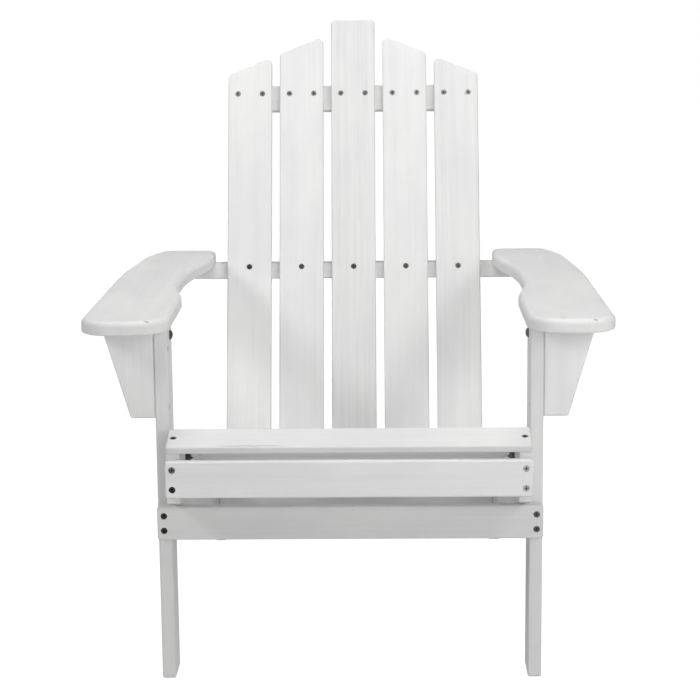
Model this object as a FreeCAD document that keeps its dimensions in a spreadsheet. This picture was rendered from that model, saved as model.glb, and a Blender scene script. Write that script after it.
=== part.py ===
import FreeCAD, Part
import Sketcher
import math
import os

# Adirondack chair, knock-down timber construction, all sizes in millimetres.
# Frame: +X to the right as seen from the front, +Y to the back, +Z up. The front faces -Y.
# Origin: on the floor, under the middle of the chair's width and depth.
# Left and right in the names are as seen from the front.

Vector = FreeCAD.Vector
X_AXIS = Vector(1, 0, 0)
Y_AXIS = Vector(0, 1, 0)
Z_AXIS = Vector(0, 0, 1)
SIDES = {"left": -1, "right": 1}

# Driving dimensions: alias, value, meaning. Lengths in mm, angles in degrees.
DIMENSIONS = [
    ("overall_depth", 780, "front edge of the arms to the rear end of the feet"),
    ("frame_board", 18, "thickness of legs, stringers, brackets, arms and most rails"),
    ("slat_round", 2.5, "rounding on the rims of slats and rails"),
    ("slat_corner", 4, "rounding of a rail's or seat slat's corners in plan"),
    ("leg_span", 510, "outer face to outer face of the front legs"),
    ("leg_depth", 57, "front leg, front to back"),
    ("arm_top", 503, "top of the arms above the floor"),
    ("arm_overhang", 78, "arm's front edge ahead of the legs"),
    ("arm_rear", 564, "arm's rear edge behind the legs' front"),
    ("arm_half_span", 343, "outermost edge of an arm from the middle"),
    ("arm_roundover", 7, "rounding on the arms' top edges"),
    ("arm_under_round", 2, "rounding on the arms' bottom edges"),
    ("seat_slope", 20, "stringers and seat fall towards the back"),
    ("front_tilt", 13.6, "front seat slat falls towards the front"),
    ("stringer_front", 58, "stringer's front end ahead of the legs' front"),
    ("stringer_front_low", 259.8, "underside of the stringer's front end"),
    ("crest_forward", 14.3, "highest point of the stringer ahead of the legs' front"),
    ("crest_height", 339.4, "highest point of the stringer above the floor"),
    ("foot_front", 655, "where the stringer's underside meets the floor"),
    ("apron_height", 49, "front apron, floor-to-sky size"),
    ("apron_low", 270, "underside of the apron"),
    ("apron_board", 12, "thickness of the apron"),
    ("lower_rail_height", 45.6, "lower front rail, floor-to-sky size"),
    ("lower_rail_low", 198, "underside of the lower front rail"),
    ("lower_rail_board", 14, "thickness of the lower front rail"),
    ("seat_slat_length", 472, "seat slat, side to side"),
    ("seat_slat_width", 54.5, "seat slat, front to back"),
    ("seat_slat_board", 10, "thickness of a seat slat"),
    ("seat_slats_behind", 7, "seat slats behind the front one"),
    ("back_recline", 20, "back leans from the vertical"),
    ("back_slat_width", 69, "back slat, side to side"),
    ("back_slat_pitch", 81.4, "middle to middle of two back slats"),
    ("back_slat_board", 12, "thickness of a back slat"),
    ("back_plane_depth", 522, "front of the slats behind the legs' front, at back_plane_height"),
    ("back_plane_height", 473, "height at which back_plane_depth is taken"),
    ("back_slat_low", 177, "lower end of the back slats above the floor"),
    ("top_rail_length", 380, "upper back rail, side to side"),
    ("top_rail_height", 41.5, "upper back rail, along the slats"),
    ("top_rail_board", 10, "thickness of the upper back rail"),
    ("top_rail_middle", 735.5, "middle of the upper back rail above the floor"),
    ("arm_rail_length", 560, "arm rail, side to side"),
    ("arm_rail_height", 23.5, "arm rail, floor-to-sky size"),
    ("arm_rail_rear", 557, "rear face of the arm rail behind the legs' front"),
    ("lower_back_rail_width", 44, "lower back rail, along the stringers"),
    ("stretcher_height", 60, "rear stretcher, across the stringers' length"),
    ("stretcher_depth", 530, "middle of the stretcher's face behind the legs' front"),
    ("stretcher_middle", 94, "middle of the stretcher's face above the floor"),
    ("bracket_low", 360, "underside of an arm bracket"),
    ("bracket_setback", 1.5, "bracket's face behind the legs' front"),
    ("bracket_foot", 32.7, "bracket's width at the bottom"),
    ("bracket_head", 69, "bracket's width at the top"),
    ("cleat_length", 36, "arm cleat, front to back"),
    ("cleat_height", 40, "arm cleat, floor-to-sky size"),
    ("cleat_board", 24, "arm cleat, side to side"),
    ("screw_head", 8.6, "diameter of a countersunk screw head"),
    ("screw_shank", 4, "diameter of a screw shank"),
    ("screw_recess", 0.5, "how far a screw head sits below the surface"),
    ("drill_slack", 0.1, "radial room around a fastener"),
    ("leg_bolt", 6, "diameter of a leg bolt"),
    ("leg_bolt_head", 12, "diameter of a leg bolt's countersunk head"),
    ("leg_bolt_reach", 10, "how far a leg bolt stands out of the stringer"),
    ("washer_radius", 8, "outer radius of a washer"),
    ("washer_board", 1.5, "thickness of a washer"),
    ("nut_flats", 10, "nut size across flats"),
    ("nut_board", 5, "thickness of a nut"),
    ("cleat_bolt", 6, "diameter of a cleat bolt"),
    ("cleat_bolt_head", 13, "diameter of a cleat bolt's domed head"),
    ("cleat_bolt_dome", 4.2, "height of a cleat bolt's domed head"),
    ("screw_point", 0.6, "diameter of a screw at its very point"),
]

doc = FreeCAD.newDocument("AdirondackChair")
sheet = doc.addObject("Spreadsheet::Sheet", "Dimensions")
for row, (alias, value, meaning) in enumerate(DIMENSIONS, start=1):
    sheet.set(f"A{row}", meaning)
    sheet.set(f"B{row}", str(value))
    sheet.setAlias(f"B{row}", alias)
doc.recompute()


def dim(alias):
    """A driving dimension's value."""
    return float(sheet.get(alias))


def cell(alias):
    """A driving dimension as an expression."""
    return f"Dimensions.{alias}"


# ---------------------------------------------------------------- places worked out from the sheet

LEG_FRONT_Y = dim("arm_overhang") - dim("overall_depth") / 2
HALF_SPAN = dim("leg_span") / 2
STRINGER_OUTER = HALF_SPAN - dim("frame_board")
STRINGER_INNER = STRINGER_OUTER - dim("frame_board")
ARM_UNDERSIDE = dim("arm_top") - dim("frame_board")
FOOT_REAR = dim("overall_depth") - dim("arm_overhang")
SLOPE = math.radians(dim("seat_slope"))
TILT = math.radians(dim("front_tilt"))
RECLINE = math.radians(dim("back_recline"))

ALONG_SEAT = Vector(0, math.cos(SLOPE), -math.sin(SLOPE))
OFF_SEAT = Vector(0, math.sin(SLOPE), math.cos(SLOPE))
UP_BACK = Vector(0, math.sin(RECLINE), math.cos(RECLINE))
OFF_BACK = Vector(0, -math.cos(RECLINE), math.sin(RECLINE))


def at(x, behind_legs, height):
    """A point given by its distance behind the legs' front plane."""
    return Vector(x, LEG_FRONT_Y + behind_legs, height)


CREST = at(0, -dim("crest_forward"), dim("crest_height"))
BACK_POINT = at(0, dim("back_plane_depth"), dim("back_plane_height"))


def on_back(x, height, behind=0.0):
    """A point at a height on the back slats' front plane, or the given distance behind it."""
    start = BACK_POINT - OFF_BACK * behind
    rise = (height - start.z) / UP_BACK.z
    return start + UP_BACK * rise + X_AXIS * x


def pose(origin, length_axis, face_axis):
    """The placement whose local x and z axes point along the two given axes."""
    rotation = FreeCAD.Rotation(length_axis, face_axis.cross(length_axis), face_axis, "XZY")
    return FreeCAD.Placement(origin, rotation)


# ------------------------------------------------------------------------------- boards as bodies
# A board's face lies in its local XY plane, with local +Z out of the face and the wood below it.


def origin_plane(body, role):
    for feature in body.Origin.OriginFeatures:
        if feature.Role == role:
            return feature
    raise ValueError(f"{body.Label} has no {role}")


def face_sketch(body, name):
    sketch = body.newObject("Sketcher::SketchObject", name)
    sketch.AttachmentSupport = (origin_plane(body, "XY_Plane"), [""])
    sketch.MapMode = "FlatFace"
    return sketch


def pad_below(body, sketch, thickness):
    """Pads the sketch down from the face; thickness is an expression."""
    pad = body.newObject("PartDesign::Pad", f"{body.Name}_pad")
    pad.Profile = sketch
    pad.Reversed = True
    pad.setExpression("Length", thickness)
    doc.recompute()
    return pad


def is_level(edge, height):
    return all(abs(vertex.Z - height) < 1e-6 for vertex in edge.Vertexes)


def is_upright(edge):
    return abs(edge.Vertexes[0].Z - edge.Vertexes[-1].Z) > 1


def round_edges(body, base, picked, radius, suffix):
    """Fillets the edges that picked() accepts; radius is an expression."""
    fillet = body.newObject("PartDesign::Fillet", f"{body.Name}_{suffix}")
    edges = [f"Edge{i}" for i, edge in enumerate(base.Shape.Edges, start=1) if picked(edge)]
    fillet.Base = (base, edges)
    fillet.setExpression("Radius", radius)
    body.Tip = fillet
    doc.recompute()
    return fillet


def rectangle(body, length, width):
    """A rectangle centred on the origin; length and width are expressions."""
    sketch = face_sketch(body, f"{body.Name}_face")
    corners = [Vector(-10, -5, 0), Vector(10, -5, 0), Vector(10, 5, 0), Vector(-10, 5, 0)]
    for i, corner in enumerate(corners):
        sketch.addGeometry(Part.LineSegment(corner, corners[(i + 1) % 4]))
    for i in range(4):
        sketch.addConstraint(Sketcher.Constraint("Coincident", i, 2, (i + 1) % 4, 1))
    for i in (0, 2):
        sketch.addConstraint(Sketcher.Constraint("Horizontal", i))
    for i in (1, 3):
        sketch.addConstraint(Sketcher.Constraint("Vertical", i))
    sketch.addConstraint(Sketcher.Constraint("Symmetric", 0, 1, 1, 2, -1, 1))
    across = sketch.addConstraint(Sketcher.Constraint("DistanceX", 0, 1, 0, 2, 20))
    sketch.setExpression(f"Constraints[{across}]", length)
    upward = sketch.addConstraint(Sketcher.Constraint("DistanceY", 1, 1, 1, 2, 10))
    sketch.setExpression(f"Constraints[{upward}]", width)
    return sketch


def plain_board(label, length, width, thickness, place):
    """A rectangular board with rounded corners and rims; sizes are expressions."""
    body = doc.addObject("PartDesign::Body", f"{label}_board")
    pad = pad_below(body, rectangle(body, length, width), thickness)
    rounded = round_edges(body, pad, is_upright, cell("slat_corner"), "corners")
    low = rounded.Shape.BoundBox.ZMin
    round_edges(body, rounded, lambda e: is_level(e, 0) or is_level(e, low), cell("slat_round"), "rims")
    body.Placement = place
    return body


def rounded_outline(sketch, corners):
    """A closed outline through (x, y, radius) corners, each replaced by a tangent arc."""
    count = len(corners)
    points = [Vector(x, y, 0) for x, y, _ in corners]
    pieces = []
    leaving = []
    for i, (corner, (_, _, radius)) in enumerate(zip(points, corners)):
        before = (points[i - 1] - corner).normalize()
        after = (points[(i + 1) % count] - corner).normalize()
        half_angle = before.getAngle(after) / 2
        run = radius / math.tan(half_angle)
        start = corner + before * run
        end = corner + after * run
        if radius > 0:
            inward = (before + after).normalize()
            middle = corner + inward * (radius / math.sin(half_angle) - radius)
            pieces.append((start, Part.Arc(start, middle, end)))
        else:
            pieces.append((start, None))
        leaving.append(end)
    for i, (start, arc) in enumerate(pieces):
        sketch.addGeometry(Part.LineSegment(leaving[i - 1], start))
        if arc:
            sketch.addGeometry(arc)


def shaped_board(label, corners, thickness, place, face_rim="slat_round", back_rim="slat_round"):
    """A board with the given outline; thickness is an expression, the rims are cell names."""
    body = doc.addObject("PartDesign::Body", f"{label}_board")
    sketch = face_sketch(body, f"{body.Name}_outline")
    rounded_outline(sketch, corners)
    pad = pad_below(body, sketch, thickness)
    faced = round_edges(body, pad, lambda e: is_level(e, 0), cell(face_rim), "face_rim")
    low = faced.Shape.BoundBox.ZMin
    round_edges(body, faced, lambda e: is_level(e, low), cell(back_rim), "back_rim")
    body.Placement = place
    return body


# ------------------------------------------------------------------------------------ the boards
# An arm's outline: distance from the chair's middle, distance behind the legs' front, corner radius.
# The inner edge is waisted beside the sitter's forearm, and the outer edge draws in towards the back.

ARM_OUTLINE = [
    (229.5, -dim("arm_overhang"), 48),
    (229.5, 132, 120),
    (244.5, 215, 200),
    (243.5, 345, 600),
    (217, 475, 400),
    (217, dim("arm_rear"), 16),
    (299, dim("arm_rear"), 16),
    (322, 503, 250),
    (338.5, 320, 900),
    (dim("arm_half_span"), -dim("arm_overhang"), 42),
]

# Back slats from the middle outwards: height above the floor of the top's outer and inner corners,
# and the radius of those corners.
SLAT_TOPS = [(857, 857, 5), (805.7, 831.7, 8), (773.2, 800.3, 8)]
BACK_SLATS = (-2, -1, 0, 1, 2)

SEAT_FIRST_GAP = 8
SEAT_LAST_GAP = 6
FRONT_SLAT_OVER_CREST = 3
SAWN_CORNER = 3
CLOSE_CORNER = 1
RAIL_CORNER = 2

# The stringer's underside turns at the knee, just behind the legs' front.
KNEE = (2, 245.2)
KNEE_RADIUS = 40
TOE_RADIUS = 6
HEEL_RADIUS = 4
HEEL_TOP_RADIUS = 15
CREST_RADIUS = 12

FRAME_BOARD = cell("frame_board")
BETWEEN_LEGS = "Dimensions.leg_span - 2 * Dimensions.frame_board"
BETWEEN_STRINGERS = "Dimensions.leg_span - 4 * Dimensions.frame_board"
LEG_HEIGHT = "Dimensions.arm_top - Dimensions.frame_board"


def make_leg(side):
    face = Vector(SIDES[side] * HALF_SPAN, LEG_FRONT_Y + dim("leg_depth") / 2, ARM_UNDERSIDE / 2)
    place = pose(face, Z_AXIS, X_AXIS * SIDES[side])
    return plain_board(f"front_leg_{side}", LEG_HEIGHT, cell("leg_depth"), FRAME_BOARD, place)


def make_stringer(side):
    """A seat rail that runs down to the floor at the back as the rear leg."""
    fall = math.tan(SLOPE) * (FOOT_REAR + dim("crest_forward"))
    nose_drop = math.tan(TILT) * (dim("stringer_front") - dim("crest_forward"))
    corners = [
        (-dim("stringer_front"), dim("stringer_front_low"), SAWN_CORNER),
        (*KNEE, KNEE_RADIUS),
        (dim("foot_front"), 0, TOE_RADIUS),
        (FOOT_REAR, 0, HEEL_RADIUS),
        (FOOT_REAR, dim("crest_height") - fall, HEEL_TOP_RADIUS),
        (-dim("crest_forward"), dim("crest_height"), CREST_RADIUS),
        (-dim("stringer_front"), dim("crest_height") - nose_drop, SAWN_CORNER),
    ]
    outer_x = STRINGER_OUTER if side == "right" else -STRINGER_INNER
    place = pose(at(outer_x, 0, 0), Y_AXIS, X_AXIS)
    return shaped_board(f"seat_stringer_{side}", corners, FRAME_BOARD, place)


def mirrored(corners, side):
    """An outline drawn for the right side, turned over for the left."""
    return [(SIDES[side] * x, y, radius) for x, y, radius in corners]


def make_arm(side):
    place = pose(at(0, 0, dim("arm_top")), X_AXIS, Z_AXIS)
    corners = mirrored(ARM_OUTLINE, side)
    label = f"arm_{side}"
    return shaped_board(label, corners, FRAME_BOARD, place, "arm_roundover", "arm_under_round")


def make_bracket(side):
    """The tapered board that carries an arm's outer half, beside the leg."""
    corners = [
        (HALF_SPAN, dim("bracket_low"), CLOSE_CORNER),
        (HALF_SPAN + dim("bracket_foot"), dim("bracket_low"), SAWN_CORNER),
        (HALF_SPAN + dim("bracket_head"), ARM_UNDERSIDE, SAWN_CORNER),
        (HALF_SPAN, ARM_UNDERSIDE, CLOSE_CORNER),
    ]
    place = pose(at(0, dim("bracket_setback"), 0), X_AXIS, -Y_AXIS)
    return shaped_board(f"arm_bracket_{side}", mirrored(corners, side), FRAME_BOARD, place)


def make_cleat(side):
    """The block behind a bracket that ties the arm to the leg."""
    depth = dim("bracket_setback") + dim("frame_board") + dim("cleat_length") / 2
    outer_x = SIDES[side] * (HALF_SPAN + dim("cleat_board"))
    middle = at(outer_x, depth, ARM_UNDERSIDE - dim("cleat_height") / 2)
    place = pose(middle, Y_AXIS, X_AXIS * SIDES[side])
    label = f"arm_cleat_{side}"
    return plain_board(label, cell("cleat_length"), cell("cleat_height"), cell("cleat_board"), place)


def make_apron():
    middle = dim("apron_low") + dim("apron_height") / 2
    place = pose(at(0, -dim("stringer_front") - dim("apron_board"), middle), X_AXIS, -Y_AXIS)
    return plain_board("front_apron", BETWEEN_LEGS, cell("apron_height"), cell("apron_board"), place)


def make_lower_rail():
    middle = dim("lower_rail_low") + dim("lower_rail_height") / 2
    place = pose(at(0, -dim("lower_rail_board"), middle), X_AXIS, -Y_AXIS)
    height = cell("lower_rail_height")
    return plain_board("lower_front_rail", cell("leg_span"), height, cell("lower_rail_board"), place)


def seat_slat_places():
    """The middle of each seat slat's top face and the face's direction, front slat first."""
    board = dim("seat_slat_board")
    width = dim("seat_slat_width")
    front_off = Vector(0, -math.sin(TILT), math.cos(TILT))
    front_back = Vector(0, math.cos(TILT), math.sin(TILT))
    places = [(CREST + front_back * (FRONT_SLAT_OVER_CREST - width / 2) + front_off * board, front_off)]
    count = int(dim("seat_slats_behind"))
    seat_run = (BACK_POINT - CREST).dot(OFF_BACK) / ALONG_SEAT.dot(OFF_BACK)
    pitch = (seat_run - SEAT_FIRST_GAP - SEAT_LAST_GAP - width) / (count - 1)
    for k in range(count):
        along = SEAT_FIRST_GAP + width / 2 + k * pitch
        places.append((CREST + ALONG_SEAT * along + OFF_SEAT * board, OFF_SEAT))
    return places


def make_seat_slat(number, middle, off):
    label = "seat_slat_front" if number == 1 else f"seat_slat_{number}"
    length, width = cell("seat_slat_length"), cell("seat_slat_width")
    return plain_board(label, length, width, cell("seat_slat_board"), pose(middle, X_AXIS, off))


def make_back_slat(number, step):
    """A back slat; step counts from the middle slat, negative to the left."""
    outer_top, inner_top, radius = SLAT_TOPS[abs(step)]
    low = dim("back_slat_low")
    half = dim("back_slat_width") / 2
    left_top, right_top = (outer_top, inner_top) if step < 0 else (inner_top, outer_top)
    corners = [
        (-half, 0, dim("slat_corner")),
        (half, 0, dim("slat_corner")),
        (half, (right_top - low) / UP_BACK.z, radius),
        (-half, (left_top - low) / UP_BACK.z, radius),
    ]
    place = pose(on_back(step * dim("back_slat_pitch"), low), X_AXIS, OFF_BACK)
    return shaped_board(f"back_slat_{number}", corners, cell("back_slat_board"), place)


def make_top_rail():
    face = on_back(0, dim("top_rail_middle"), behind=dim("back_slat_board"))
    sizes = [cell(f"top_rail_{size}") for size in ("length", "height", "board")]
    return plain_board("upper_back_rail", *sizes, pose(face, X_AXIS, OFF_BACK))


def make_arm_rail():
    """The rail behind the slats that the arms' rear ends lie on; its front is bevelled to the back."""
    high = ARM_UNDERSIDE
    low = high - dim("arm_rail_height")
    board = dim("back_slat_board")
    corners = [
        (on_back(0, low, behind=board).y - LEG_FRONT_Y, low, RAIL_CORNER),
        (dim("arm_rail_rear"), low, RAIL_CORNER),
        (dim("arm_rail_rear"), high, RAIL_CORNER),
        (on_back(0, high, behind=board).y - LEG_FRONT_Y, high, RAIL_CORNER),
    ]
    place = pose(at(dim("arm_rail_length") / 2, 0, 0), Y_AXIS, X_AXIS)
    return shaped_board("arm_rail", corners, cell("arm_rail_length"), place)


def lower_rail_corner():
    """Where the back of the back slats meets the top of the stringers."""
    rear = BACK_POINT - OFF_BACK * dim("back_slat_board")
    return CREST + ALONG_SEAT * ((rear - CREST).dot(OFF_BACK) / ALONG_SEAT.dot(OFF_BACK))


def make_lower_back_rail():
    """The rail that lies on the stringers and holds the back slats' lower ends."""
    run = dim("lower_back_rail_width") / 2
    face = lower_rail_corner() + ALONG_SEAT * run + OFF_SEAT * dim("frame_board")
    width = cell("lower_back_rail_width")
    place = pose(face, X_AXIS, OFF_SEAT)
    return plain_board("lower_back_rail", BETWEEN_LEGS, width, FRAME_BOARD, place)


def make_stretcher():
    face = at(0, dim("stretcher_depth"), dim("stretcher_middle"))
    place = pose(face, X_AXIS, -ALONG_SEAT)
    height = cell("stretcher_height")
    return plain_board("rear_stretcher", BETWEEN_STRINGERS, height, FRAME_BOARD, place)


boards = {}
for side in SIDES:
    boards[f"front_leg_{side}"] = make_leg(side)
    boards[f"seat_stringer_{side}"] = make_stringer(side)
    boards[f"arm_{side}"] = make_arm(side)
    boards[f"arm_bracket_{side}"] = make_bracket(side)
    boards[f"arm_cleat_{side}"] = make_cleat(side)
boards["front_apron"] = make_apron()
boards["lower_front_rail"] = make_lower_rail()
seat_places = seat_slat_places()
for number, (middle, off) in enumerate(seat_places, start=1):
    name = "seat_slat_front" if number == 1 else f"seat_slat_{number}"
    boards[name] = make_seat_slat(number, middle, off)
for number, step in enumerate(BACK_SLATS, start=1):
    boards[f"back_slat_{number}"] = make_back_slat(number, step)
boards["upper_back_rail"] = make_top_rail()
boards["arm_rail"] = make_arm_rail()
boards["lower_back_rail"] = make_lower_back_rail()
boards["rear_stretcher"] = make_stretcher()
doc.recompute()

# ---------------------------------------------------------------------------------- the fasteners
# A fastener's head lies at its local origin and its shank runs along local -Z.

CROSS_LENGTH = 4.6
CROSS_WIDTH = 1.2
CROSS_DEPTH = 1.8
SCREW_TIP = 5

# How far joined solids reach into each other, and how far a drill's mouth stands out of the wood.
OVERLAP = 1
DRILL_MOUTH = 3


def primitive(kind, name, base, **sizes):
    """A Part primitive at a local point, its sizes given as expressions."""
    solid = doc.addObject(kind, name)
    for size, expression in sizes.items():
        solid.setExpression(size, str(expression))
    solid.Placement.Base = base
    return solid


def joined(name, solids):
    fuse = doc.addObject("Part::MultiFuse", name)
    fuse.Shapes = solids
    return fuse


def cut_away(name, base, tool):
    cut = doc.addObject("Part::Cut", name)
    cut.Base = base
    cut.Tool = tool
    return cut


def cross_recess(name, top):
    """A Phillips recess sunk from the given height."""
    bars = []
    for turn, (length, width) in enumerate([(CROSS_LENGTH, CROSS_WIDTH), (CROSS_WIDTH, CROSS_LENGTH)]):
        corner = Vector(-length / 2, -width / 2, top - CROSS_DEPTH)
        sizes = {"Length": length, "Width": width, "Height": CROSS_DEPTH + OVERLAP}
        bars.append(primitive("Part::Box", f"{name}_bar_{turn}", corner, **sizes))
    return joined(f"{name}_cross", bars)


def countersunk_screw(name, length, head="screw_head", shank="screw_shank"):
    """A flat-headed screw with a cross recess, its head's face at the local origin."""
    sink = (dim(head) - dim(shank)) / 2
    half_shank = f"{cell(shank)} / 2"
    cone = {"Radius1": half_shank, "Radius2": f"{cell(head)} / 2", "Height": sink}
    parts = [
        primitive("Part::Cone", f"{name}_head", Vector(0, 0, -sink), **cone),
        primitive(
            "Part::Cylinder",
            f"{name}_shank",
            Vector(0, 0, SCREW_TIP - length),
            Radius=half_shank,
            Height=length - SCREW_TIP - sink / 2,
        ),
        primitive(
            "Part::Cone",
            f"{name}_tip",
            Vector(0, 0, -length),
            Radius1=f"{cell('screw_point')} / 2",
            Radius2=half_shank,
            Height=SCREW_TIP,
        ),
    ]
    return cut_away(f"{name}_screw", joined(f"{name}_blank", parts), cross_recess(name, 0))


def domed_bolt(name, length):
    """A round-headed bolt; the underside of its head is at the local origin."""
    half_head = f"{cell('cleat_bolt_head')} / 2"
    dome = {"Radius1": cell("cleat_bolt_dome"), "Radius2": half_head, "Angle1": 0}
    shank = {"Radius": f"{cell('cleat_bolt')} / 2", "Height": length + OVERLAP}
    parts = [
        primitive("Part::Ellipsoid", f"{name}_dome", Vector(), **dome),
        primitive("Part::Cylinder", f"{name}_shank", Vector(0, 0, -length), **shank),
    ]
    top = dim("cleat_bolt_dome")
    return cut_away(f"{name}_bolt", joined(f"{name}_blank", parts), cross_recess(name, top))


def ring(name, kind, height, **outline):
    """A washer or a nut: a disc or a hexagon with room for a leg bolt."""
    blank = primitive(kind, f"{name}_blank", Vector(), Height=height, **outline)
    bore_radius = f"{cell('leg_bolt')} / 2 + {cell('drill_slack')}"
    bore = primitive("Part::Cylinder", f"{name}_bore", Vector(), Radius=bore_radius, Height=height)
    return cut_away(f"{name}_ring", blank, bore)


def aim(point, into):
    """The placement of a fastener whose head is at point and whose shank runs along into."""
    return FreeCAD.Placement(point, FreeCAD.Rotation(Z_AXIS, -into))


def sunk(point, into):
    """The placement of a screw whose head sits just below the surface at point."""
    return aim(point + into * dim("screw_recess"), into)


def group(label, pattern, places):
    """Identical fasteners as one object of separate solids."""
    fasteners = doc.addObject("Part::Feature", label)
    solids = []
    for place in places:
        solid = pattern.Shape.copy()
        solid.Placement = place.multiply(solid.Placement)
        solids.append(solid)
    fasteners.Shape = Part.makeCompound(solids)
    fasteners.Label = label
    return fasteners


def screw_drill(length, head, shank):
    """The hole for a countersunk screw: clear of the head and the shank all round."""
    slack = dim("drill_slack")
    mouth = head / 2 + 2 * slack
    bore = shank / 2 + slack
    sink = mouth - bore
    hole = Part.makeCylinder(mouth, DRILL_MOUTH, Vector(0, 0, -slack))
    hole = hole.fuse(Part.makeCone(bore, mouth, sink, Vector(0, 0, -sink - slack)))
    return hole.fuse(Part.makeCylinder(bore, length + slack, Vector(0, 0, -length - slack)))


def bolt_drill(length, shank):
    """A plain hole for a bolt."""
    slack = dim("drill_slack")
    return Part.makeCylinder(shank / 2 + slack, length + slack, Vector(0, 0, -length - slack))


# ------------------------------------------------------------------- where each fastener is driven

TOP_SCREW_SPREAD = 19.25
TOP_SCREW_HEIGHT = 744
MIDDLE_SCREW_HEIGHT = 481.5
SEAT_SCREW_X = (STRINGER_OUTER + STRINGER_INNER) / 2
LEG_MIDDLE_X = (HALF_SPAN + STRINGER_OUTER) / 2
APRON_SCREW_SPREAD = 13
LOWER_RAIL_SCREW_SPREAD = 10
LEG_BOLT_DEPTH = 28
LEG_BOLT_HEIGHTS = (300, 258)
BRACKET_SCREW_HEIGHTS = (373.5, 451.5)
CLEAT_BOLT_DEPTH = 34
CLEAT_BOLT_HEIGHT = 466
CLEAT_SCREW_DEPTHS = (26.5, 48)
ARM_RAIL_SCREW_XS = (240, 264)
ARM_RAIL_SCREW_DEPTH = 548
LOWER_BACK_SCREW_SPREAD = 12
STRETCHER_SCREW_SPREAD = 15
BRACKET_MIDDLE = dim("bracket_setback") + dim("frame_board") / 2
SIGNS = (-1, 1)


def back_top_places():
    middles = [step * dim("back_slat_pitch") for step in BACK_SLATS]
    xs = [middle + sign * TOP_SCREW_SPREAD for middle in middles for sign in SIGNS]
    return [sunk(on_back(x, TOP_SCREW_HEIGHT), -OFF_BACK) for x in xs]


def back_middle_places():
    xs = [step * dim("back_slat_pitch") for step in BACK_SLATS]
    return [sunk(on_back(x, MIDDLE_SCREW_HEIGHT), -OFF_BACK) for x in xs]


def back_lower_places():
    corner = lower_rail_corner() + OFF_BACK * dim("back_slat_board") + OFF_SEAT * dim("frame_board") / 2
    xs = [step * dim("back_slat_pitch") for step in BACK_SLATS]
    return [sunk(corner + X_AXIS * x, -OFF_BACK) for x in xs]


def seat_places_of(slats):
    xs = [sign * SEAT_SCREW_X for sign in SIGNS]
    return [sunk(middle + X_AXIS * x, -off) for middle, off in slats for x in xs]


def front_board_places(x, depth, middle, spread):
    """Two screws, one above the other, at each end of a board that faces forwards."""
    heights = [middle - spread, middle + spread]
    return [sunk(at(sign * x, depth, height), Y_AXIS) for sign in SIGNS for height in heights]


def apron_places():
    middle = dim("apron_low") + dim("apron_height") / 2
    depth = -dim("stringer_front") - dim("apron_board")
    return front_board_places(SEAT_SCREW_X, depth, middle, APRON_SCREW_SPREAD)


def lower_rail_places():
    middle = dim("lower_rail_low") + dim("lower_rail_height") / 2
    depth = -dim("lower_rail_board")
    return front_board_places(LEG_MIDDLE_X, depth, middle, LOWER_RAIL_SCREW_SPREAD)


def leg_bolt_places(x, outward):
    """Leg bolts, washers or nuts at a distance from the middle, pointing outwards or inwards."""
    return [
        aim(at(sign * x, LEG_BOLT_DEPTH, height), X_AXIS * (sign if outward else -sign))
        for sign in SIGNS
        for height in LEG_BOLT_HEIGHTS
    ]


def bracket_screw_places():
    middles = [at(s * STRINGER_OUTER, BRACKET_MIDDLE, z) for s in SIGNS for z in BRACKET_SCREW_HEIGHTS]
    return [sunk(middle, X_AXIS * math.copysign(1, middle.x)) for middle in middles]


def cleat_bolt_places():
    inner = [at(s * STRINGER_OUTER, CLEAT_BOLT_DEPTH, CLEAT_BOLT_HEIGHT) for s in SIGNS]
    return [aim(middle, X_AXIS * math.copysign(1, middle.x)) for middle in inner]


def cleat_screw_places():
    """Screws up through the cleats into the arms."""
    x = HALF_SPAN + dim("cleat_board") / 2
    low = ARM_UNDERSIDE - dim("cleat_height")
    return [sunk(at(s * x, depth, low), Z_AXIS) for s in SIGNS for depth in CLEAT_SCREW_DEPTHS]


def arm_rail_places():
    low = ARM_UNDERSIDE - dim("arm_rail_height")
    xs = [sign * x for sign in SIGNS for x in ARM_RAIL_SCREW_XS]
    return [sunk(at(x, ARM_RAIL_SCREW_DEPTH, low), Z_AXIS) for x in xs]


def lower_back_rail_places():
    middle = lower_rail_corner() + OFF_SEAT * dim("frame_board")
    middle += ALONG_SEAT * dim("lower_back_rail_width") / 2
    steps = [ALONG_SEAT * way * LOWER_BACK_SCREW_SPREAD for way in SIGNS]
    xs = [sign * SEAT_SCREW_X for sign in SIGNS]
    return [sunk(middle + X_AXIS * x + step, -OFF_SEAT) for x in xs for step in steps]


def stretcher_places():
    middle = at(0, dim("stretcher_depth"), dim("stretcher_middle"))
    middle += ALONG_SEAT * dim("frame_board") / 2
    steps = [OFF_SEAT * way * STRETCHER_SCREW_SPREAD for way in SIGNS]
    outer = X_AXIS * STRINGER_OUTER
    return [sunk(middle + outer * sign + step, X_AXIS * -sign) for sign in SIGNS for step in steps]


# Countersunk screws: label, length, places.
SCREW_GROUPS = [
    ("back_top_screws", 20, back_top_places()),
    ("back_middle_screws", 30, back_middle_places()),
    ("back_lower_screws", 40, back_lower_places()),
    ("seat_front_screws", 26, seat_places_of(seat_places[:1])),
    ("seat_slat_screws", 30, seat_places_of(seat_places[1:])),
    ("apron_screws", 40, apron_places()),
    ("lower_rail_screws", 40, lower_rail_places()),
    ("bracket_screws", 45, bracket_screw_places()),
    ("arm_cleat_screws", 50, cleat_screw_places()),
    ("arm_rail_screws", 36, arm_rail_places()),
    ("lower_back_rail_screws", 45, lower_back_rail_places()),
    ("stretcher_screws", 45, stretcher_places()),
]
CLEAT_BOLT_LENGTH = 38

drills = []
hardware = []


def drive(label, pattern, drill, places):
    """Adds a group of fasteners and the holes that they need."""
    hardware.append(group(label, pattern, places))
    for place in places:
        hole = drill.copy()
        hole.Placement = place
        drills.append(hole)


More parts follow.
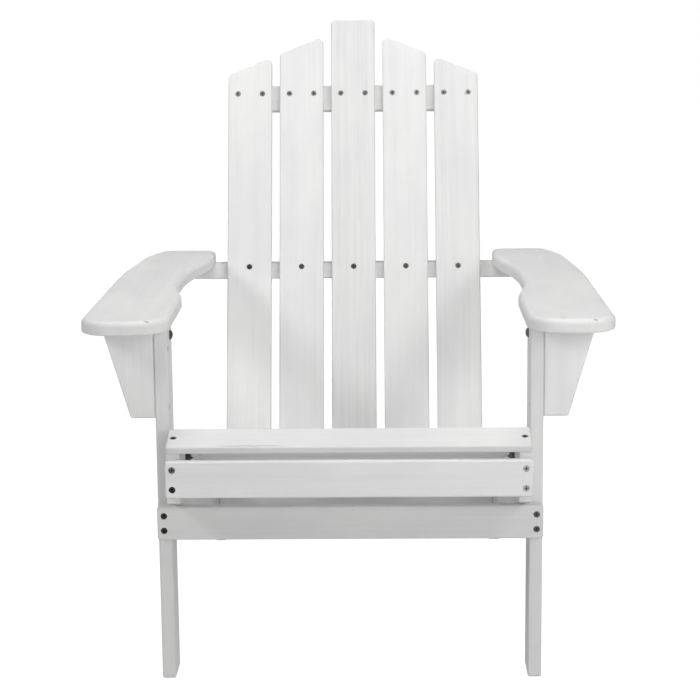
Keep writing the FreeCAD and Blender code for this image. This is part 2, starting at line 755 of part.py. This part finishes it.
doc.recompute()
patterns = {}
for label, length, places in SCREW_GROUPS:
    if length not in patterns:
        patterns[length] = countersunk_screw(f"flat_{length}", length)
        doc.recompute()
    flat_drill = screw_drill(length, dim("screw_head"), dim("screw_shank"))
    drive(label, patterns[length], flat_drill, places)

bolt_reach = 2 * dim("frame_board") + dim("leg_bolt_reach")
leg_bolt_pattern = countersunk_screw("leg", bolt_reach, head="leg_bolt_head", shank="leg_bolt")
dome_pattern = domed_bolt("dome", CLEAT_BOLT_LENGTH)
washer_pattern = ring("washer", "Part::Cylinder", cell("washer_board"), Radius=cell("washer_radius"))
nut_radius = f"{cell('nut_flats')} / sqrt(3)"
nut_pattern = ring("nut", "Part::Prism", cell("nut_board"), Polygon=6, Circumradius=nut_radius)
doc.recompute()

leg_drill = screw_drill(bolt_reach, dim("leg_bolt_head"), dim("leg_bolt"))
drive("leg_bolts", leg_bolt_pattern, leg_drill, leg_bolt_places(HALF_SPAN, outward=False))
dome_drill = bolt_drill(CLEAT_BOLT_LENGTH, dim("cleat_bolt"))
drive("cleat_bolts", dome_pattern, dome_drill, cleat_bolt_places())
nut_seat = STRINGER_INNER - dim("washer_board")
washer_places = leg_bolt_places(STRINGER_INNER, outward=True)
nut_places = leg_bolt_places(nut_seat, outward=True)
hardware.append(group("leg_bolt_washers", washer_pattern, washer_places))
hardware.append(group("leg_bolt_nuts", nut_pattern, nut_places))


# -------------------------------------------------------------------- drill the boards and export


def drilled(label, board):
    """The board with a hole wherever a fastener passes through it."""
    box = board.Shape.BoundBox
    near = [hole for hole in drills if hole.BoundBox.intersect(box)]
    through = [hole for hole in near if hole.common(board.Shape).Volume > 1]
    if not through:
        board.Label = label
        return board
    tool = doc.addObject("Part::Feature", f"{label}_holes")
    tool.Shape = Part.makeCompound(through)
    piece = cut_away(label, board, tool)
    piece.Label = label
    return piece


pieces = [drilled(label, board) for label, board in boards.items()] + hardware
doc.recompute()

for item in doc.Objects:
    if "Invalid" in item.State or "Error" in item.State:
        raise RuntimeError(f"{item.Label} failed: {item.State}")
os.makedirs("parts", exist_ok=True)
for piece in pieces:
    if piece.Shape.isNull() or not piece.Shape.isValid():
        raise RuntimeError(f"{piece.Label} has no valid shape")
    piece.Shape.exportStep(f"parts/{piece.Label}.step")
print(f"{len(pieces)} nodes, {sum(len(piece.Shape.Solids) for piece in pieces)} solids")
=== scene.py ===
import math
from typing import NamedTuple

import bpy
from mathutils import Matrix, Vector


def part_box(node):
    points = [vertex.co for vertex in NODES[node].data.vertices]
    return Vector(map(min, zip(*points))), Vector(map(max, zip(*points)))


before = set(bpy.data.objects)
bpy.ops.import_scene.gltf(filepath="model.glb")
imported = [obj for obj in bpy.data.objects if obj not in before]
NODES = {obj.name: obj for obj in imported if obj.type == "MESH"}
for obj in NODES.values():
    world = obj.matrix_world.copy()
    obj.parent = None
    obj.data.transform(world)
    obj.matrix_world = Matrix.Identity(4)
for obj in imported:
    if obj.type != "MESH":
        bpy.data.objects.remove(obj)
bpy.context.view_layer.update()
scene = bpy.context.scene
scene.view_settings.view_transform = "Standard"

AXIS_X = Vector((1, 0, 0))
AXIS_Y = Vector((0, 1, 0))
AXIS_Z = Vector((0, 0, 1))

# ------------------------------------------------------------------------------------------ camera

LEG_FRONT_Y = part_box("front_leg_left")[0].y
CAMERA_X = 0.0453
CAMERA_DISTANCE = 2.550
CAMERA_HEIGHT = 0.9473
PITCH = math.radians(11.024)
YAW = math.radians(0.975)
ROLL = math.radians(0.55)
FOCAL_PIXELS = 1991.2
IMAGE_SIDE = 700
SENSOR = 36.0
CLIP_START = 0.05
CLIP_END = 100


def make_camera():
    """A camera in front of the chair, looking slightly down and to the left."""
    forward = Vector(
        (-math.sin(YAW) * math.cos(PITCH), math.cos(YAW) * math.cos(PITCH), -math.sin(PITCH))
    )
    level = Vector((math.cos(YAW), math.sin(YAW), 0))
    upward = level.cross(forward)
    right = level * math.cos(ROLL) - upward * math.sin(ROLL)
    up = level * math.sin(ROLL) + upward * math.cos(ROLL)
    data = bpy.data.cameras.new("camera")
    data.sensor_width = SENSOR
    data.lens = FOCAL_PIXELS / IMAGE_SIDE * SENSOR
    data.clip_start = CLIP_START
    data.clip_end = CLIP_END
    camera = bpy.data.objects.new("camera", data)
    scene.collection.objects.link(camera)
    turn = Matrix((right, up, -forward)).transposed().to_4x4()
    place = Vector((CAMERA_X, LEG_FRONT_Y - CAMERA_DISTANCE, CAMERA_HEIGHT))
    camera.matrix_world = Matrix.Translation(place) @ turn
    scene.camera = camera


make_camera()

# ------------------------------------------------------------------------------------ node helpers

# Places of the colour sockets on a Mix node.
MIX_FACTOR = 0
MIX_FIRST = 6
MIX_SECOND = 7
MIX_RESULT = 2


class Graph:
    """Short ways of adding and joining the nodes of one material."""

    def __init__(self, name):
        self.material = bpy.data.materials.new(name)
        self.material.use_nodes = True
        self.tree = self.material.node_tree
        self.shader = self.tree.nodes["Principled BSDF"]

    def add(self, kind, **settings):
        node = self.tree.nodes.new(kind)
        for key, value in settings.items():
            setattr(node, key, value)
        return node

    def join(self, source, target):
        self.tree.links.new(source, target)

    def feed(self, node, socket, value):
        """Gives a socket another node's output, or a plain value."""
        if isinstance(value, bpy.types.NodeSocket):
            self.join(value, node.inputs[socket])
        else:
            node.inputs[socket].default_value = value

    def math(self, operation, a, b=0.0, c=0.0):
        node = self.add("ShaderNodeMath", operation=operation)
        for index, value in enumerate((a, b, c)):
            self.feed(node, index, value)
        return node.outputs[0]

    def vector_math(self, operation, a, b=None):
        """Returns the node itself, because its answer is a vector or a number."""
        node = self.add("ShaderNodeVectorMath", operation=operation)
        self.feed(node, 0, a)
        if b is not None:
            self.feed(node, 1, b)
        return node

    def stretched(self, vector, scale):
        """The vector with each axis scaled."""
        return self.vector_math("MULTIPLY", vector, scale).outputs["Vector"]

    def noise(self, vector, scale, detail=2.0, rough=0.5):
        node = self.add("ShaderNodeTexNoise")
        self.join(vector, node.inputs["Vector"])
        node.inputs["Scale"].default_value = scale
        node.inputs["Detail"].default_value = detail
        node.inputs["Roughness"].default_value = rough
        return node.outputs["Fac"]

    def ramp(self, value, low, high, from_low=0.0, from_high=1.0, smooth=True):
        """Maps a value between two limits to low and high."""
        node = self.add("ShaderNodeMapRange")
        node.interpolation_type = "SMOOTHSTEP" if smooth else "LINEAR"
        self.feed(node, "Value", value)
        node.inputs["From Min"].default_value = from_low
        node.inputs["From Max"].default_value = from_high
        node.inputs["To Min"].default_value = low
        node.inputs["To Max"].default_value = high
        return node.outputs["Result"]

    def darken(self, light, amount, depth):
        """Takes away up to depth of the light, by an amount from 0 to 1."""
        kept = self.math("SUBTRACT", 1.0, self.math("MULTIPLY", amount, depth))
        return self.math("MULTIPLY", light, kept)

    def grey(self, level):
        """A colour with the same value in all three channels."""
        node = self.add("ShaderNodeCombineColor")
        for channel in ("Red", "Green", "Blue"):
            self.join(level, node.inputs[channel])
        return node.outputs["Color"]

    def mix(self, factor, a, b, blend="MIX"):
        node = self.add("ShaderNodeMix", data_type="RGBA", blend_type=blend)
        self.feed(node, MIX_FACTOR, factor)
        self.feed(node, MIX_FIRST, a)
        self.feed(node, MIX_SECOND, b)
        return node.outputs[MIX_RESULT]

    def bump(self, height, strength, distance):
        """Gives the shader a relief."""
        node = self.add("ShaderNodeBump")
        node.inputs["Strength"].default_value = strength
        node.inputs["Distance"].default_value = distance
        self.join(height, node.inputs["Height"])
        self.join(node.outputs["Normal"], self.shader.inputs["Normal"])


# ------------------------------------------------------------------------------------- white paint


class Pattern(NamedTuple):
    """Noise in the paint."""

    scale: tuple  # per metre along the board, across it and through it
    detail: float
    rough: float
    span: tuple = (0.0, 1.0)  # the two levels of noise between which it goes from none to full
    depth: float = 0.0  # the most that it darkens the paint


STREAKS = Pattern((5.0, 420.0, 420.0), 3.0, 0.6, (0.36, 0.62), 0.030)
BANDS = Pattern((1.6, 95.0, 95.0), 3.0, 0.55, (0.36, 0.60), 0.028)
PATCHES = Pattern((5.0, 12.0, 12.0), 3.0, 0.55, (0.34, 0.62), 0.025)
CLOUDS = Pattern((14.0, 26.0, 26.0), 4.0, 0.6, (0.35, 0.60), 0.018)
SPECKS = Pattern((150.0, 190.0, 190.0), 2.0, 0.7, (0.735, 0.79), 0.30)
SPECK_AREAS = Pattern((18.0, 22.0, 22.0), 1.0, 0.5, (0.52, 0.66))
DRIFT = Pattern((2.2, 9.0, 9.0), 2.0, 0.5)
BRUSH = Pattern((12.0, 900.0, 900.0), 2.0, 0.5)
WOBBLE = Pattern((60.0, 60.0, 60.0), 3.0, 0.6)

# How far the grain bends and the marks' edges wander, in metres.
DRIFT_REACH = 0.022
WOBBLE_REACH = 0.004

# How far one board's pattern lies from the next board's, in metres.
SEED_STEP = (1.37, 0.61, 0.23)

# Knots: cells per metre, the share of cells with one, its inner and outer radius in cells, and the
# most that it darkens.
KNOT_SCALE = (7.0, 17.0, 17.0)
KNOT_SHARE = 0.16
KNOT_SPAN = (0.06, 0.26)
KNOT_DEPTH = 0.085

# Painted shade on the rounded edges, and marks: where they start and are full, and the most that
# they darken.
EDGE_SHADE_SPAN = (0.02, 0.22)
EDGE_SHADE_DEPTH = 0.05
MARK_SPAN = (0.5, 1.0)
MARK_DEPTH = 0.42

COOL_WHITE = (0.835, 0.835, 0.840, 1)
WARM_WHITE = (0.850, 0.847, 0.838, 1)
WHITE_SPAN = (0.35, 0.65)
PAINT_ROUGH = (0.50, 0.62)
STREAK_ROUGH = 0.05
ROUGH_SPAN = (0.3, 0.7)
PAINT_GLOSS = 0.22

# Each pattern's share of the relief, how strongly it bumps and how high it is in metres.
STREAK_RELIEF = 0.5
BAND_RELIEF = 0.7
BRUSH_RELIEF = 0.16
CLOUD_RELIEF = 0.6
SPECK_RELIEF = -0.8
KNOT_RELIEF = -0.5
PAINT_BUMP = 0.55
PAINT_BUMP_HEIGHT = 0.0006


def painted(g, vector, pattern):
    """The noise of a pattern."""
    return g.noise(g.stretched(vector, pattern.scale), 1.0, pattern.detail, pattern.rough)


def board_axes(along, face):
    """The turn that brings a board's length to local X and its face to local Z."""
    side = face.cross(along)
    return Matrix((along, side, face)).to_euler("XYZ")


def pushed_sideways(g, vector, distance):
    """The vector moved along Y by a distance that differs from place to place."""
    shift = g.add("ShaderNodeCombineXYZ")
    g.join(distance, shift.inputs["Y"])
    return g.vector_math("ADD", vector, shift.outputs["Vector"]).outputs["Vector"]


def wear(g, where, marks):
    """How strongly a place is chipped or split: 1 inside a mark, 0 away from all of them."""
    wobble = painted(g, where, WOBBLE)
    nudge = g.math("MULTIPLY_ADD", wobble, WOBBLE_REACH, -WOBBLE_REACH / 2)
    bent = pushed_sideways(g, where, nudge)
    total = 0.0
    for centre, reach in marks:
        offset = g.vector_math("SUBTRACT", bent, centre).outputs["Vector"]
        scaled = g.stretched(offset, tuple(1 / side for side in reach))
        away = g.vector_math("LENGTH", scaled).outputs["Value"]
        total = g.math("MAXIMUM", g.ramp(away, 1.0, 0.0, *MARK_SPAN), total)
    return total


def knot_spots(g, wavy, knots):
    """A knot in some of the cells that the board is divided into."""
    cells = g.add("ShaderNodeTexVoronoi", feature="F1", distance="EUCLIDEAN")
    g.join(g.stretched(wavy, KNOT_SCALE), cells.inputs["Vector"])
    cells.inputs["Scale"].default_value = 1.0
    cells.inputs["Randomness"].default_value = 1.0
    chance = g.add("ShaderNodeSeparateColor")
    g.join(cells.outputs["Color"], chance.inputs["Color"])
    chosen = g.math("LESS_THAN", chance.outputs["Red"], KNOT_SHARE * knots)
    nearness = g.ramp(cells.outputs["Distance"], 1.0, 0.0, *KNOT_SPAN)
    return g.math("MULTIPLY", nearness, chosen)


def paint_specks(g, board):
    """Small chips and dirt, gathered in some areas of the board."""
    specks = g.ramp(painted(g, board, SPECKS), 0.0, 1.0, *SPECKS.span)
    areas = g.ramp(painted(g, board, SPECK_AREAS), 0.0, 1.0, *SPECK_AREAS.span)
    return g.math("MULTIPLY", specks, areas)


def rounded_edge(g, normal, face):
    """A quarter midway round the edge of a broad face; 0 on the face and square to it."""
    facing = g.vector_math("DOT_PRODUCT", normal, face).outputs["Value"]
    square = g.math("MULTIPLY", facing, facing)
    return g.math("MULTIPLY", square, g.math("SUBTRACT", 1.0, square))


def paint(name, along, face, seed, grain, tone_and_painted_light, knots, marks):
    """White satin paint brushed over softwood.

    along and face are the directions of the board's length and broad face, seed shifts the
    pattern from board to board, grain and knots say how much wood shows, tone is the paint's
    brightness with painted light and shade on some boards, and marks are chips and splits, each
    with its centre and its half sizes.
    """
    g = Graph(name)
    place = g.add("ShaderNodeTexCoord")
    turned = g.add("ShaderNodeMapping", vector_type="POINT")
    g.join(place.outputs["Object"], turned.inputs["Vector"])
    turned.inputs["Rotation"].default_value = board_axes(along, face)
    turned.inputs["Location"].default_value = tuple(seed * step for step in SEED_STEP)
    board = turned.outputs["Vector"]

    # The wood under the paint: fine streaks, wider early and late wood bands, and a few knots.
    bend = g.math("MULTIPLY", painted(g, board, DRIFT), DRIFT_REACH)
    wavy = pushed_sideways(g, board, bend)
    streaks = painted(g, wavy, STREAKS)
    bands = painted(g, wavy, BANDS)
    knot = knot_spots(g, wavy, knots)

    # Uneven cover of the paint, and small marks where it is chipped or dirty.
    patches = painted(g, board, PATCHES)
    clouds = painted(g, board, CLOUDS)
    speck = paint_specks(g, board)

    # Painted shade on the rounded edges beside the broad faces, most where they turn halfway from
    # the face.
    edge = rounded_edge(g, place.outputs["Normal"], face)

    light = g.ramp(edge, 1.0, 1.0 - EDGE_SHADE_DEPTH, *EDGE_SHADE_SPAN)
    shades = [
        (streaks, STREAKS, grain),
        (bands, BANDS, grain),
        (patches, PATCHES, 1.0),
        (clouds, CLOUDS, 1.0),
    ]
    for noise, pattern, share in shades:
        shade = g.ramp(noise, 1.0 - pattern.depth * share, 1.0, *pattern.span)
        light = g.math("MULTIPLY", light, shade)
    light = g.darken(light, knot, KNOT_DEPTH)
    light = g.darken(light, speck, SPECKS.depth)
    if marks:
        light = g.darken(light, wear(g, place.outputs["Object"], marks), MARK_DEPTH)
    # The tone, with painted light and shade on some boards.
    level = g.math("MULTIPLY", light, tone_and_painted_light)

    white = g.mix(g.ramp(patches, 0.0, 1.0, *WHITE_SPAN), COOL_WHITE, WARM_WHITE)
    g.join(g.mix(1.0, white, g.grey(level), "MULTIPLY"), g.shader.inputs["Base Color"])

    rough = g.ramp(clouds, *PAINT_ROUGH, *ROUGH_SPAN)
    rough = g.math("ADD", rough, g.ramp(streaks, 0.0, STREAK_ROUGH, *ROUGH_SPAN))
    g.join(rough, g.shader.inputs["Roughness"])
    g.shader.inputs["Specular IOR Level"].default_value = PAINT_GLOSS

    # Raised grain, brush marks and the soft unevenness of planed softwood.
    relief = [
        (bands, BAND_RELIEF),
        (painted(g, board, BRUSH), BRUSH_RELIEF),
        (speck, SPECK_RELIEF),
        (knot, KNOT_RELIEF),
        (clouds, CLOUD_RELIEF),
    ]
    height = g.math("MULTIPLY", streaks, STREAK_RELIEF)
    for noise, share in relief:
        height = g.math("ADD", height, g.math("MULTIPLY", noise, share))
    g.bump(height, PAINT_BUMP, PAINT_BUMP_HEIGHT)
    return g.material


# Angles of the seat, its front slat and the back.
SLOPE = math.radians(20)
FRONT_TILT = math.radians(13.6)
RECLINE = math.radians(20)

ALONG_STRINGER = Vector((0, math.cos(SLOPE), -math.sin(SLOPE)))
OFF_SEAT = Vector((0, math.sin(SLOPE), math.cos(SLOPE)))
OFF_FRONT_SLAT = Vector((0, -math.sin(FRONT_TILT), math.cos(FRONT_TILT)))
UP_BACK = Vector((0, math.sin(RECLINE), math.cos(RECLINE)))
OFF_BACK = Vector((0, -math.cos(RECLINE), math.sin(RECLINE)))

# Boards by the start of their names, of which the first that fits counts: grain direction, face
# direction, grain, tone, knots. The tone also holds painted light and shade: brighter brackets and
# apron, darker lower rail.
BOARDS = [
    ("front_leg", AXIS_Z, AXIS_X, 0.9, 0.975, 0.4),
    ("seat_stringer", ALONG_STRINGER, AXIS_X, 0.9, 0.99, 0.5),
    ("arm_bracket", AXIS_Z, -AXIS_Y, 0.7, 1.05, 0.2),
    ("arm_cleat", AXIS_Y, AXIS_X, 0.9, 0.98, 0.3),
    ("arm_rail", AXIS_X, -AXIS_Y, 0.9, 0.98, 0.4),
    ("arm", AXIS_Y, AXIS_Z, 0.6, 0.99, 0.3),
    ("front_apron", AXIS_X, -AXIS_Y, 0.7, 1.05, 0.5),
    ("lower_front_rail", AXIS_X, -AXIS_Y, 0.7, 0.95, 0.4),
    ("seat_slat_front", AXIS_X, OFF_FRONT_SLAT, 0.8, 0.94, 0.4),
    ("seat_slat", AXIS_X, OFF_SEAT, 0.9, 0.99, 0.6),
    ("back_slat_3", UP_BACK, OFF_BACK, 1.5, 0.965, 0.9),
    ("back_slat_5", UP_BACK, OFF_BACK, 1.3, 0.985, 0.5),
    ("back_slat", UP_BACK, OFF_BACK, 0.8, 1.0, 0.5),
    ("upper_back_rail", AXIS_X, OFF_BACK, 0.9, 0.98, 0.4),
    ("lower_back_rail", AXIS_X, OFF_SEAT, 0.9, 0.98, 0.4),
    ("rear_stretcher", AXIS_X, -ALONG_STRINGER, 0.9, 0.98, 0.4),
]

# Chips and splits: board, then centres and half sizes.
MARKS = {
    "arm_left": [((-0.2545, -0.381, 0.503), (0.0065, 0.0022, 0.004))],
    "arm_right": [
        ((0.274, -0.372, 0.503), (0.006, 0.0022, 0.004)),
        ((0.3145, -0.386, 0.503), (0.005, 0.0030, 0.004)),
    ],
    "seat_slat_front": [((-0.124, -0.3752, 0.3385), (0.063, 0.0014, 0.0035))],
}


def board_material(name, seed):
    for start, along, face, grain, tone_and_painted_light, knots in BOARDS:
        if name.startswith(start):
            label = f"white_paint_{name}"
            return paint(label, along, face, seed, grain, tone_and_painted_light, knots, MARKS.get(name, ()))
    raise ValueError(f"no grain direction for {name}")


# ------------------------------------------------------------------------------------ plated steel

# Noise in the plating, per metre, and the levels between which it goes from none to full.
HEAD_SCALE = 31.0
HEAD_SPAN = (0.35, 0.65)
BLOTCH_SCALE = 420.0
BLOTCH_SPAN = (0.38, 0.62)
SCRATCH_SCALE = 2600.0

# What the place from left to right adds as painted light and shade, and what the head itself adds
# to the plating's brightness.
SIDE_LIGHT_SPAN = (-0.25, 0.25)
SIDE_PAINTED_LIGHT = 0.7
HEAD_BRIGHTNESS = 0.3
WORN_LEVEL = 0.70
BLOTCH_ROUGH = 0.2

# Painted shade in recesses: colour, how near the walls are in metres, how open a place is, greatest
# cover.
RECESS_SHADE_COLOUR = (0.02, 0.018, 0.015, 1)
RECESS_SHADE_REACH = 0.003
RECESS_SHADE_SPAN = (0.35, 0.75)
RECESS_SHADE_COVER = 0.9
RECESS_SHADE_SAMPLES = 8

STEEL_BUMP = 0.3
STEEL_BUMP_HEIGHT = 0.0002

# Fasteners by the start of their names, again the first that fits: darkest and brightest plating,
# with painted light and shade in them, lighter on the top back screws and darker on the lower rail
# screws, roughness.
METALS = [
    ("back_top", (0.36, 0.35, 0.33, 1), (0.58, 0.57, 0.55, 1), 0.34),
    ("back_middle", (0.13, 0.12, 0.105, 1), (0.30, 0.29, 0.27, 1), 0.34),
    ("apron", (0.070, 0.064, 0.055, 1), (0.66, 0.63, 0.58, 1), 0.32),
    ("lower_rail", (0.075, 0.068, 0.058, 1), (0.24, 0.23, 0.21, 1), 0.34),
    ("seat_front", (0.16, 0.15, 0.13, 1), (0.28, 0.27, 0.25, 1), 0.36),
    ("", (0.12, 0.115, 0.11, 1), (0.24, 0.23, 0.21, 1), 0.38),
]


def steel(name, dark, bright, rough):
    """Zinc-plated steel, with painted shade in its recesses.

    The colour lies between dark and bright: the plating differs from head to head, and painted
    shade makes it darker at the chair's low-X side.
    """
    g = Graph(name)
    where = g.add("ShaderNodeTexCoord").outputs["Object"]
    split = g.add("ShaderNodeSeparateXYZ")
    g.join(where, split.inputs["Vector"])
    # Painted light and shade: lighter towards high X, darker towards low X.
    side = g.ramp(split.outputs["X"], 0.0, 1.0, *SIDE_LIGHT_SPAN)
    head = g.ramp(g.noise(where, HEAD_SCALE, detail=0.0), 0.0, HEAD_BRIGHTNESS, *HEAD_SPAN)
    plating_and_painted_light = g.math("MULTIPLY_ADD", side, SIDE_PAINTED_LIGHT, head)
    blotch = g.noise(where, BLOTCH_SCALE, detail=4.0, rough=0.6)
    worn = g.grey(g.ramp(blotch, WORN_LEVEL, 1.0, *BLOTCH_SPAN))
    colour = g.mix(1.0, g.mix(plating_and_painted_light, dark, bright), worn, "MULTIPLY")

    # Painted shade: the colour goes dark where walls are near, as in the cross recess.
    openness = g.add("ShaderNodeAmbientOcclusion", samples=RECESS_SHADE_SAMPLES)
    openness.inputs["Distance"].default_value = RECESS_SHADE_REACH
    recess_shade = g.ramp(openness.outputs["AO"], RECESS_SHADE_COVER, 0.0, *RECESS_SHADE_SPAN)
    g.join(g.mix(recess_shade, colour, RECESS_SHADE_COLOUR), g.shader.inputs["Base Color"])
    g.shader.inputs["Metallic"].default_value = 1.0
    roughness = g.ramp(blotch, rough, rough + BLOTCH_ROUGH, *ROUGH_SPAN)
    g.join(roughness, g.shader.inputs["Roughness"])
    g.bump(g.noise(where, SCRATCH_SCALE, detail=2.0), STEEL_BUMP, STEEL_BUMP_HEIGHT)
    return g.material


def metal_material(name):
    dark, bright, rough = next(rest for start, *rest in METALS if name.startswith(start))
    return steel(f"dark_zinc_{name}", dark, bright, rough)


for seed, name in enumerate(sorted(NODES), start=1):
    if name.endswith("screws") or "bolt" in name:
        material = metal_material(name)
    else:
        material = board_material(name, seed)
    NODES[name].data.materials.clear()
    NODES[name].data.materials.append(material)

# ---------------------------------------------------------------------------------- floor and light

FLOOR_HALF = 60
FLOOR_WHITE = 0.20
FLOOR_ROUGH = 0.9
FLOOR_GLOW = 1.0
FLOOR_BOUNCE = 0.40
SKY_LIGHT = 0.01
HORIZON_LIGHT = 0.10
BACKDROP = 1.0
LIT_PLACE = Vector((0, 0, 0.42))
PURE_WHITE = (1, 1, 1, 1)

# Softboxes: name, azimuth, elevation, distance, width, height, watts. Azimuth 0 is in front of the
# chair and positive is to the right.
SOFTBOXES = [
    ("softbox_left", -61, 33, 3.2, 0.6, 0.6, 24),
    ("softbox_right", 58, 36, 3.2, 0.6, 0.6, 16),
    ("softbox_near_right", 33, 12, 1.8, 0.9, 0.7, 5.5),
    ("softbox_front", 10, 14, 3.2, 2.0, 1.2, 15.5),
    ("softbox_top", 0, 85, 2.4, 1.8, 1.8, 39),
]


def make_floor():
    """A pale floor that looks white to the camera and sends a dimmer, soft light up."""
    mesh = bpy.data.meshes.new("floor")
    corners = [(-FLOOR_HALF, -FLOOR_HALF, 0), (FLOOR_HALF, -FLOOR_HALF, 0)]
    corners += [(FLOOR_HALF, FLOOR_HALF, 0), (-FLOOR_HALF, FLOOR_HALF, 0)]
    mesh.from_pydata(corners, [], [(0, 1, 2, 3)])
    floor = bpy.data.objects.new("floor", mesh)
    scene.collection.objects.link(floor)
    g = Graph("floor_white")
    g.shader.inputs["Base Color"].default_value = (FLOOR_WHITE, FLOOR_WHITE, FLOOR_WHITE, 1)
    g.shader.inputs["Roughness"].default_value = FLOOR_ROUGH
    g.shader.inputs["Specular IOR Level"].default_value = 0.0
    g.shader.inputs["Emission Color"].default_value = PURE_WHITE
    seen = g.add("ShaderNodeLightPath").outputs["Is Camera Ray"]
    glow = g.ramp(seen, FLOOR_BOUNCE, FLOOR_GLOW, smooth=False)
    g.join(glow, g.shader.inputs["Emission Strength"])
    mesh.materials.append(g.material)


def make_softbox(name, azimuth, elevation, distance, width, height, watts):
    """A rectangular area light aimed at the chair."""
    around = math.radians(azimuth)
    above = math.radians(elevation)
    level = math.cos(above)
    way = Vector((math.sin(around) * level, -math.cos(around) * level, math.sin(above)))
    data = bpy.data.lights.new(name, "AREA")
    data.shape = "RECTANGLE"
    data.size = width
    data.size_y = height
    data.energy = watts
    light = bpy.data.objects.new(name, data)
    scene.collection.objects.link(light)
    light.location = LIT_PLACE + way * distance
    light.rotation_mode = "QUATERNION"
    light.rotation_quaternion = (-way).to_track_quat("-Z", "Y")


def make_world():
    """Even studio light: a white backdrop for the camera, a dimmer one that lights the chair."""
    world = bpy.data.worlds.new("studio")
    scene.world = world
    world.use_nodes = True
    tree = world.node_tree
    seen = tree.nodes["Background"]
    seen.inputs["Color"].default_value = PURE_WHITE
    seen.inputs["Strength"].default_value = BACKDROP
    lighting = tree.nodes.new("ShaderNodeBackground")
    lighting.inputs["Color"].default_value = PURE_WHITE
    place = tree.nodes.new("ShaderNodeTexCoord")
    split = tree.nodes.new("ShaderNodeSeparateXYZ")
    tree.links.new(place.outputs["Generated"], split.inputs["Vector"])
    rise = tree.nodes.new("ShaderNodeMapRange")
    rise.inputs["To Min"].default_value = HORIZON_LIGHT
    rise.inputs["To Max"].default_value = SKY_LIGHT
    tree.links.new(split.outputs["Z"], rise.inputs["Value"])
    tree.links.new(rise.outputs["Result"], lighting.inputs["Strength"])
    path = tree.nodes.new("ShaderNodeLightPath")
    either = tree.nodes.new("ShaderNodeMixShader")
    tree.links.new(path.outputs["Is Camera Ray"], either.inputs["Fac"])
    tree.links.new(lighting.outputs["Background"], either.inputs[1])
    tree.links.new(seen.outputs["Background"], either.inputs[2])
    tree.links.new(either.outputs["Shader"], tree.nodes["World Output"].inputs["Surface"])


make_floor()
for softbox in SOFTBOXES:
    make_softbox(*softbox)
make_world()
